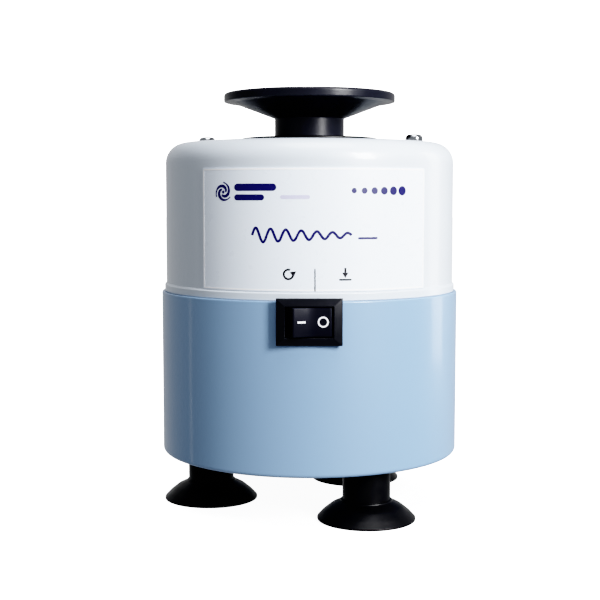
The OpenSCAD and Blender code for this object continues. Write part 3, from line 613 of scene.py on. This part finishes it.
def label_printing():
    """Generic graphics in place of lettering: a vortex sign and bars, dots, a wave that dies away,
    and the signs for running on and for running while touched, either side of a thin line."""
    head_z, wave_z, sign_z = 109.1 * MM, 95.5 * MM, 83.2 * MM
    navy = swirl((-29.1 * MM, head_z), 3.1 * MM)
    navy += bar(-23.7 * MM, -11.6 * MM, head_z + 1.5 * MM, 2.3 * MM)
    navy += bar(-23.9 * MM, -15.4 * MM, head_z - 1.7 * MM, 1.9 * MM)
    for k in range(6):
        navy += disc(((14.3 + 3.5 * k) * MM, head_z + 0.4 * MM), (0.85 + 0.13 * k) * MM)
    wave = []
    steps, turns, tallest, fading = 180, 6.5, 2.4 * MM, 0.72
    for k in range(steps + 1):
        share = k / steps
        height = tallest * (1 - fading * share) * math.sin(2 * math.pi * turns * share)
        wave.append(((-18.5 + 32 * share) * MM, wave_z + height))
    navy += ribbon(wave, 0.82 * MM) + bar(16 * MM, 22.1 * MM, wave_z - MM, 0.7 * MM)
    printed("label_navy", navy, NAVY)
    printed("label_grey", bar(-8.6 * MM, -0.4 * MM, head_z - 1.6 * MM, 1.2 * MM), GREYED)

    black = ribbon(arc((-6.6 * MM, sign_z), 1.5 * MM, 70, 380), 0.6 * MM)
    black += arrow_head((-4.95 * MM, sign_z - 0.85 * MM), (0.12, -1), 1.7 * MM)
    touch_s = 11.5 * MM
    black += ribbon([(touch_s, sign_z + 2 * MM), (touch_s, sign_z - 0.1 * MM)], 0.65 * MM)
    black += arrow_head((touch_s, sign_z - 1.2 * MM), (0, -1), 1.7 * MM)
    black += bar(touch_s - 1.8 * MM, touch_s + 1.8 * MM, sign_z - 1.75 * MM, 0.5 * MM)
    divider = [(1.8 * MM, label_low.z + (0.1 + 0.72 * k) * MM) for k in range(11)]
    black += ribbon(divider, 0.34 * MM)
    printed("label_black", black, INK_BLACK)

    left, right = LABEL_START * LABEL_R + 0.5 * MM, LABEL_END * LABEL_R - 0.5 * MM
    low, high = label_low.z + 0.5 * MM, label_high.z - 0.5 * MM
    steps = 90
    across = [left + (right - left) * k / steps for k in range(steps + 1)]
    border = ribbon([(s, high) for s in across], 0.5 * MM) + ribbon([(s, low) for s in across], 0.4 * MM)
    for side in (left, right):
        border += ribbon([(side, low + 0.2 * MM), (side, high - 0.25 * MM)], 0.5 * MM)
    printed("label_border", border, INK_WHITE)


# ---- feet, platform, boot ---------------------------------------------------------

def foot(node):
    """Suction cup with a thin rim, a bead at the root of its stem, and a socket for the stud."""
    low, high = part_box(node)
    cup = (high.x - low.x) / 2
    stem, top = 8 * MM, housing_low.z
    socket_r, socket_low = 2 * MM, 8 * MM
    outline = rounded([
        (0, 3.6 * MM, 0), (4 * MM, 3.6 * MM, 1.2 * MM), (cup - 4.2 * MM, 1.7 * MM, 4 * MM),
        (cup - 1.3 * MM, 0.0, 0.1 * MM), (cup, 0.0, 0.18 * MM), (cup, 0.6 * MM, 0.25 * MM),
        (cup - 1.8 * MM, 2.5 * MM, 4 * MM), (cup - 4.5 * MM, 4.7 * MM, 6 * MM),
        (stem + 0.75 * MM, 6.3 * MM, 0.8 * MM), (stem + 0.5 * MM, 6.8 * MM, 0.3 * MM),
        (stem, 6.85 * MM, 0.1 * MM), (stem, top, 0.2 * MM),
        (socket_r, top, 0), (socket_r, socket_low, 0), (0, socket_low, 0)], 8)
    piece = lathe(node + "_rubber", outline, 144, closed=False)
    place(piece, foot_middle(node))
    return complete(piece, SLOT_MATERIALS["black_rubber"], stands_for=[node])


def platform():
    """Neck, conical underside, rim and dished top, with fine rings moulded in the dish."""
    reach, top, low = platform_high.x, platform_high.z, platform_low.z
    neck, socket_r, socket_top = 12.2 * MM, 10.6 * MM, low + 12.3 * MM
    dish_r, dish_h = 27.5 * MM, 3 * MM
    ring_h, ring_gap, first_ring, last_ring = 0.12 * MM, 3.4 * MM, 5 * MM, 24 * MM
    ball = (dish_r ** 2 + dish_h ** 2) / (2 * dish_h)
    dish = []
    count = 72
    for k in range(count + 1):
        r = dish_r * k / count
        z = top - dish_h + ball - math.sqrt(ball ** 2 - r ** 2)
        if first_ring < r < last_ring:
            z += ring_h * max(0.0, math.sin(2 * math.pi * r / ring_gap))
        dish.append(Vector((r, z)))
    under = rounded([
        (dish_r, top, 0), (reach, top, 1.0 * MM), (reach, top - 3 * MM, 0.35 * MM),
        (reach - 3.4 * MM, top - 3.3 * MM, 0.5 * MM), (neck, top - 8.7 * MM, 0.5 * MM),
        (neck, low + 2.5 * MM, 0), (neck + 0.15 * MM, low, 0.1 * MM), (socket_r, low, 0.2 * MM),
        (socket_r, socket_top, 0), (0, socket_top, 0)], 7)
    piece = lathe("platform_rubber", dish + under[1:], 192, closed=False)
    place(piece, HEAD_AXIS)
    return complete(piece, SLOT_MATERIALS["head_rubber"], "head", ["platform"])


def neck_boot():
    """Flange on the cover, tube through its hole, bead under it, and a lip in to the head."""
    top, cover, low = boot_high.z, cover_high.z, boot_low.z
    flange, tube_in, tube_out, lip = boot_high.x, 15 * MM, 16.2 * MM, 10.3 * MM
    wall = cover - WALL
    bead_r, bead_h, lip_h = 18.4 * MM, 1.8 * MM, 1.4 * MM
    outline = rounded([
        (lip, low, 0.25 * MM), (tube_out, low, 0.5 * MM), (tube_out, wall - bead_h, 0.2 * MM),
        (bead_r, wall - bead_h, 0.6 * MM), (bead_r, wall, 0.1 * MM), (tube_out, wall, 0),
        (tube_out, cover, 0), (flange, cover, 0.12 * MM), (flange, top - 0.1 * MM, 0.4 * MM),
        (tube_in + 1.6 * MM, top, 0.5 * MM), (tube_in, top, 0.4 * MM), (tube_in, low + lip_h, 0.6 * MM),
        (lip, low + lip_h, 0.25 * MM)], 5)
    dense = []
    for a, b in zip(outline, outline[1:] + outline[:1]):
        parts = max(1, math.ceil((b - a).length / (0.7 * MM)))
        dense += [a.lerp(b, k / parts) for k in range(parts)]
    piece = lathe("neck_boot_rubber", dense, 128)
    complete(piece, SLOT_MATERIALS["black_rubber"], None, ["neck_boot"])
    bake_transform(piece)
    return piece


def return_spring():
    """Ground-end compression spring of round wire."""
    wire, turns, per_turn = 0.4 * MM, 5.5, 28
    coil = spring_high.x - wire
    count = int(turns * per_turn)
    climb = spring_high.z - spring_low.z - 2 * wire
    curve = bpy.data.curves.new("spring_path", "CURVE")
    curve.dimensions = "3D"
    curve.bevel_depth = wire
    curve.bevel_resolution = 3
    curve.use_fill_caps = True
    spline = curve.splines.new("POLY")
    spline.points.add(count)
    for i in range(count + 1):
        angle = 2 * math.pi * i / per_turn
        share = i / count
        rise = climb * (share - 0.05 * math.sin(2 * math.pi * share))
        spline.points[i].co = (coil * math.cos(angle), coil * math.sin(angle),
                               spring_low.z + wire + rise, 1)
    path = bpy.data.objects.new("spring_path", curve)
    bpy.context.scene.collection.objects.link(path)
    bpy.context.view_layer.update()
    mesh = bpy.data.meshes.new_from_object(path.evaluated_get(bpy.context.evaluated_depsgraph_get()))
    bpy.data.objects.remove(path)
    piece = bpy.data.objects.new("return_spring_wire", mesh)
    bpy.context.scene.collection.objects.link(piece)
    complete(piece, SLOT_MATERIALS["spring_steel"], stands_for=["return_spring"])
    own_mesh(piece)
    return piece


# ---- rocker switch ----------------------------------------------------------------

OPENING = (15.2 * MM, 9.8 * MM)
CASE_HALF = (9.5 * MM, 6.3 * MM)
CAVITY_DEPTH = 11.5 * MM
ROCKER_REACH = 6.44 * MM
ROCKER_PROUD, ROCKER_DEPTH = 5.8 * MM, 4.6 * MM
ROCKER_REST_TURN = 10


def switch_frame():
    """Frame with a mitred border that slopes up to its opening, and the case behind it."""
    half_w, half_h = (case_high.x - case_low.x) / 2, (case_high.z - case_low.z) / 2
    front, back, end = case_low.y, -HOUSING_R - 0.05 * MM, case_high.y
    open_w, open_h = OPENING[0] / 2, OPENING[1] / 2
    # inset from the frame's outline, depth behind its front, share of the way to the opening
    stages = [(0.15, 2.15, 0), (0, 2.0, 0), (0, 1.05, 0), (0.12, 0.88, 0), (0, 0.06, 0.86), (0, 0, 0.92),
              (0, 0.05, 0.97), (0, 0.3, 1), (0, CAVITY_DEPTH / MM, 1)]
    bm = bmesh.new()
    loops = []
    for inset, depth, share in stages:
        w = (half_w - inset * MM) * (1 - share) + open_w * share
        h = (half_h - inset * MM) * (1 - share) + open_h * share
        loops.append([bm.verts.new((x * w, front + depth * MM, SWITCH_Z + z * h))
                      for x, z in ((-1, -1), (1, -1), (1, 1), (-1, 1))])
    for a, b in zip(loops, loops[1:]):
        for k in range(4):
            m = (k + 1) % 4
            bm.faces.new((a[k], a[m], b[m], b[k]))
    bm.faces.new(loops[0])
    bm.faces.new(loops[-1])
    piece = new_object("switch_frame", bm)
    case_w, case_h = CASE_HALF
    case = block((-case_w, back - MM, SWITCH_Z - case_h), (case_w, end, SWITCH_Z + case_h))
    cavity = block((-open_w, back - 2 * MM, SWITCH_Z - open_h),
                   (open_w, front + CAVITY_DEPTH, SWITCH_Z + open_h))
    combine(case, [cavity])
    combine(piece, [case], "UNION")
    pivot = joint_at["rocker_tilt"]
    combine(piece, [place(rod(1.3 * MM, -5.9 * MM, 5.9 * MM), (0, pivot.y, SWITCH_Z))])
    bevel(piece, 0.12 * MM, 2, 12)
    return complete(piece, SLOT_MATERIALS["switch_plastic"],
                    stands_for=["switch_case"], angle=25)


def rocker():
    """Rocker with a dished face, drawn level about its pivot and then tipped to its rest position."""
    pivot = joint_at["rocker_tilt"]
    height = OPENING[1] - 0.4 * MM
    outline = rounded([
        (-ROCKER_REACH, -ROCKER_PROUD, 0.7 * MM), (0, -ROCKER_DEPTH, 9 * MM),
        (ROCKER_REACH, -ROCKER_PROUD, 0.7 * MM),
        (7.2 * MM, 0, 0.5 * MM), (7.2 * MM, 1.5 * MM, 0), (4 * MM, 3.5 * MM, 0), (-4 * MM, 3.5 * MM, 0),
        (-7.2 * MM, 1.5 * MM, 0), (-7.2 * MM, 0, 0.5 * MM)], 6)
    bm = bmesh.new()
    low = [bm.verts.new((p.x, p.y, -height / 2)) for p in outline]
    high = [bm.verts.new((p.x, p.y, height / 2)) for p in outline]
    bm.faces.new(low)
    bm.faces.new(high)
    for k in range(len(outline)):
        m = (k + 1) % len(outline)
        bm.faces.new((low[k], low[m], high[m], high[k]))
    piece = new_object("rocker_key", bm)
    bevel(piece, 0.4 * MM, 3, 50)
    combine(piece, [rod(1.25 * MM, -5.7 * MM, 5.7 * MM)], "UNION")
    place(piece, (0, pivot.y, SWITCH_Z), turn=ROCKER_REST_TURN)
    complete(piece, SLOT_MATERIALS["rocker_plastic"], "rocker", ["switch_rocker"])
    return piece


def rocker_marks():
    """The bar and the ring on the rocker's two slopes."""
    pivot = joint_at["rocker_tilt"]
    slope = math.atan2(ROCKER_PROUD - ROCKER_DEPTH, ROCKER_REACH)
    bm = bmesh.new()

    def on_face(u, v, out):
        """A point u along the face from its middle and v up, out from the surface."""
        turn = -slope if u > 0 else slope
        foot_y = -ROCKER_DEPTH - abs(u) * math.sin(slope)
        across = Vector((u * math.cos(slope), foot_y, v))
        return across + Vector((math.sin(turn), -math.cos(turn), 0)) * out

    shapes = ribbon([(-4.75 * MM, 0.15 * MM), (-2.05 * MM, 0.15 * MM)], 0.62 * MM)
    shapes += ribbon(arc((3.6 * MM, 0.15 * MM), 1.48 * MM, 0, 352.5, 47), 0.5 * MM, closed=True)
    raised, sunk = 0.06 * MM, 0.15 * MM
    for shape in shapes:
        slab(bm, [on_face(p[0], p[1], raised) for p in shape],
             [on_face(p[0], p[1], -sunk) for p in shape])
    piece = new_object("rocker_marks", bm)
    place(piece, (0, pivot.y, SWITCH_Z), turn=ROCKER_REST_TURN)
    return complete(piece, MARK_WHITE, "rocker")


# ---- screws and grommet -----------------------------------------------------------

def cover_screw(name, angle, turn):
    """Pan head with a cross recess."""
    head, height = 3 * MM, 2.7 * MM
    top = cover_high.z
    outline = rounded([(0, top - 10 * MM, 0), (1.5 * MM, top - 10 * MM, 0.3 * MM), (1.5 * MM, top, 0),
                       (head, top, 0.15 * MM), (head, top + height, 1.45 * MM), (0, top + height, 0)], 8)
    piece = lathe(name, outline, 96, closed=False)
    slots = []
    for quarter in (0, 90):
        arm = block((-1.75 * MM, -0.42 * MM, top + height - 1.3 * MM),
                    (1.75 * MM, 0.42 * MM, top + height + MM))
        slots.append(place(arm, turn=quarter + turn))
    combine(piece, slots)
    bevel(piece, 0.06 * MM, 2, 40)
    at_angle(piece, SCREW_CIRCLE, angle)
    return complete(piece, SLOT_MATERIALS["screw_chrome"])


def cord_grommet():
    """Rubber bush through the rear wall, with a rounded flange outside and one inside."""
    outer, flange, hole = grommet_high.y, 7 * MM, 3.2 * MM
    wall, inner = HOUSING_R - MM, HOUSING_R - WALL
    outline = rounded([
        (hole, inner - 3 * MM, 0.4 * MM), (flange, inner - 3 * MM, 0.6 * MM),
        (flange, inner - 0.4 * MM, 0.2 * MM), (5 * MM, inner - 0.4 * MM, 0), (5 * MM, wall, 0),
        (flange, wall, 0), (flange, outer - 0.6 * MM, 0.9 * MM),
        (5.4 * MM, outer, 0.5 * MM), (4.2 * MM, outer, 0.3 * MM), (hole, outer - 0.8 * MM, 0.5 * MM)], 6)
    piece = lathe("cord_grommet_rubber", outline, 96)
    place(piece, (0, 0, GROMMET_Z), tilt=-90)
    return complete(piece, SLOT_MATERIALS["black_rubber"], stands_for=["cord_grommet"])


shells = [lower_housing(), upper_cover(), front_label()]
label_printing()
for foot_node in FEET:
    foot(foot_node)
platform()
neck_boot()
return_spring()
switch_frame()
rocker()
rocker_marks()
left_screw = cover_screw("cover_screw_left", SCREW_ANGLES[1], 25)
cover_screw("cover_screw_right", SCREW_ANGLES[0], 60)
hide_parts("cover_screws")
cord_grommet()


# ---- studio -----------------------------------------------------------------------

def shine_only_on(lamp, pieces):
    """Keeps a lamp's light off everything but these pieces."""
    receivers = bpy.data.collections.new("lit_by_" + lamp.name)
    for piece in pieces:
        receivers.objects.link(piece)
    lamp.light_linking.receiver_collection = receivers


def floor():
    """Pale disc that glows almost white, with a lamp of its own so that the mixer shades it softly."""
    bm = bmesh.new()
    bmesh.ops.create_circle(bm, cap_ends=True, radius=6, segments=96)
    piece = new_object("studio_floor", bm)
    s = Surface("studio_floor", linear(250, 250, 250), 0.8, specular=0.1)
    s.mottle(3, 0.3, linear(246, 247, 249))
    s.shader.inputs["Emission Color"].default_value = (1, 1, 1, 1)
    s.shader.inputs["Emission Strength"].default_value = 1.1
    piece.data.materials.append(s.material)
    piece.visible_diffuse = False
    piece.visible_glossy = False
    lamp = bpy.data.objects.new("floor_lamp", bpy.data.lights.new("floor_lamp", "SUN"))
    bpy.context.scene.collection.objects.link(lamp)
    lamp.data.energy = 2.2
    lamp.data.angle = math.radians(70)
    shine_only_on(lamp, [piece])


def softbox(name, at, aim, size, power):
    """White rectangular lamp that faces a point. Its power is in watts."""
    light = bpy.data.lights.new(name, "AREA")
    light.shape = "RECTANGLE"
    light.size, light.size_y = size
    light.energy = power
    lamp = bpy.data.objects.new(name, light)
    bpy.context.scene.collection.objects.link(lamp)
    lamp.location = at
    lamp.rotation_euler = (Vector(aim) - Vector(at)).to_track_quat("-Z", "Y").to_euler()
    return lamp


def world():
    """White to the camera. Dim all round for the light that falls on the mixer, and for reflections
    white behind and below, as a sheet of paper that sweeps up behind the mixer would be."""
    made = bpy.data.worlds.new("studio")
    bpy.context.scene.world = made
    made.use_nodes = True
    nodes, links = made.node_tree.nodes, made.node_tree.links
    nodes.clear()

    def backdrop(colour, strength):
        node = nodes.new("ShaderNodeBackground")
        node.inputs["Color"].default_value = colour
        node.inputs["Strength"].default_value = strength
        return node.outputs[0]

    def mixed(amount, first, second):
        node = nodes.new("ShaderNodeMixShader")
        links.new(amount, node.inputs["Fac"])
        links.new(first, node.inputs[1])
        links.new(second, node.inputs[2])
        return node.outputs[0]

    def between(value, start, end):
        node = nodes.new("ShaderNodeMapRange")
        node.interpolation_type = "SMOOTHSTEP"
        node.inputs["From Min"].default_value = start
        node.inputs["From Max"].default_value = end
        links.new(value, node.inputs["Value"])
        return node.outputs["Result"]

    direction = nodes.new("ShaderNodeSeparateXYZ")
    links.new(nodes.new("ShaderNodeTexCoord").outputs["Generated"], direction.inputs[0])
    paper = nodes.new("ShaderNodeMath")
    paper.operation = "MAXIMUM"
    links.new(between(direction.outputs["Y"], 0.3, 1.0), paper.inputs[0])
    links.new(between(direction.outputs["Z"], -0.5, -1.0), paper.inputs[1])
    path = nodes.new("ShaderNodeLightPath")
    room = backdrop((0.95, 0.97, 1.0, 1), 0.17)
    seen = mixed(paper.outputs[0], backdrop((0.92, 0.96, 1.0, 1), 0.16), backdrop((1, 1, 1, 1), 0.33))
    lit = mixed(path.outputs["Is Glossy Ray"], room, seen)
    shown = mixed(path.outputs["Is Camera Ray"], lit, backdrop((1, 1, 1, 1), 3))
    links.new(shown, nodes.new("ShaderNodeOutputWorld").inputs["Surface"])


def camera():
    """Level with the upper half of the mixer, a little above its middle, and aimed slightly down."""
    made = bpy.data.objects.new("camera", bpy.data.cameras.new("camera"))
    bpy.context.scene.collection.objects.link(made)
    tilted_down, turned_left = 4.93, 0.448
    made.data.lens = 71.4
    made.data.sensor_width = 36
    made.location = (0, -425 * MM, 107.4 * MM)
    made.rotation_euler = (math.radians(90 - tilted_down), 0, math.radians(turned_left))
    made.data.clip_start = 0.01
    bpy.context.scene.camera = made


def film():
    """The response of a camera: a short toe, so that blacks stay black, and a soft shoulder."""
    view = bpy.context.scene.view_settings
    view.view_transform = "Standard"
    view.use_curve_mapping = True
    mapping = view.curve_mapping
    white, toe, rate = 1.6, 0.045, 2.9
    mapping.white_level = (white, white, white)
    points = mapping.curves[3].points
    for light in (0.01, 0.02, 0.035, 0.06, 0.1, 0.15, 0.22, 0.3, 0.42, 0.6, 0.8, 1.05, 1.3):
        points.new(light / white, (1 - math.exp(-rate * light)) / (1 + (toe / light) ** 2))
    mapping.update()


def around(turn, reach, height):
    """A point that far from the mixer's axis, at an angle from the front towards +X."""
    angle = math.radians(turn)
    return reach * math.sin(angle), -reach * math.cos(angle), height


floor()
world()
middle = Vector((0, 0, 0.08))
softbox("key", around(43, 0.76, 0.40), middle, (0.2, 0.36), 6.0)
softbox("top", around(20, 0.15, 0.75), middle, (0.4, 0.4), 1.35)
shine_only_on(softbox("right_rim", around(112, 0.7, 0.2), middle, (0.2, 0.5), 0.9), shells)
streak = softbox("streak", around(-99.6, 0.7, 0.1), (0, 0, 0.05), (0.025, 0.5), 0.05)
streak.visible_diffuse = False
shine_only_on(streak, shells[:1])
camera()
film()
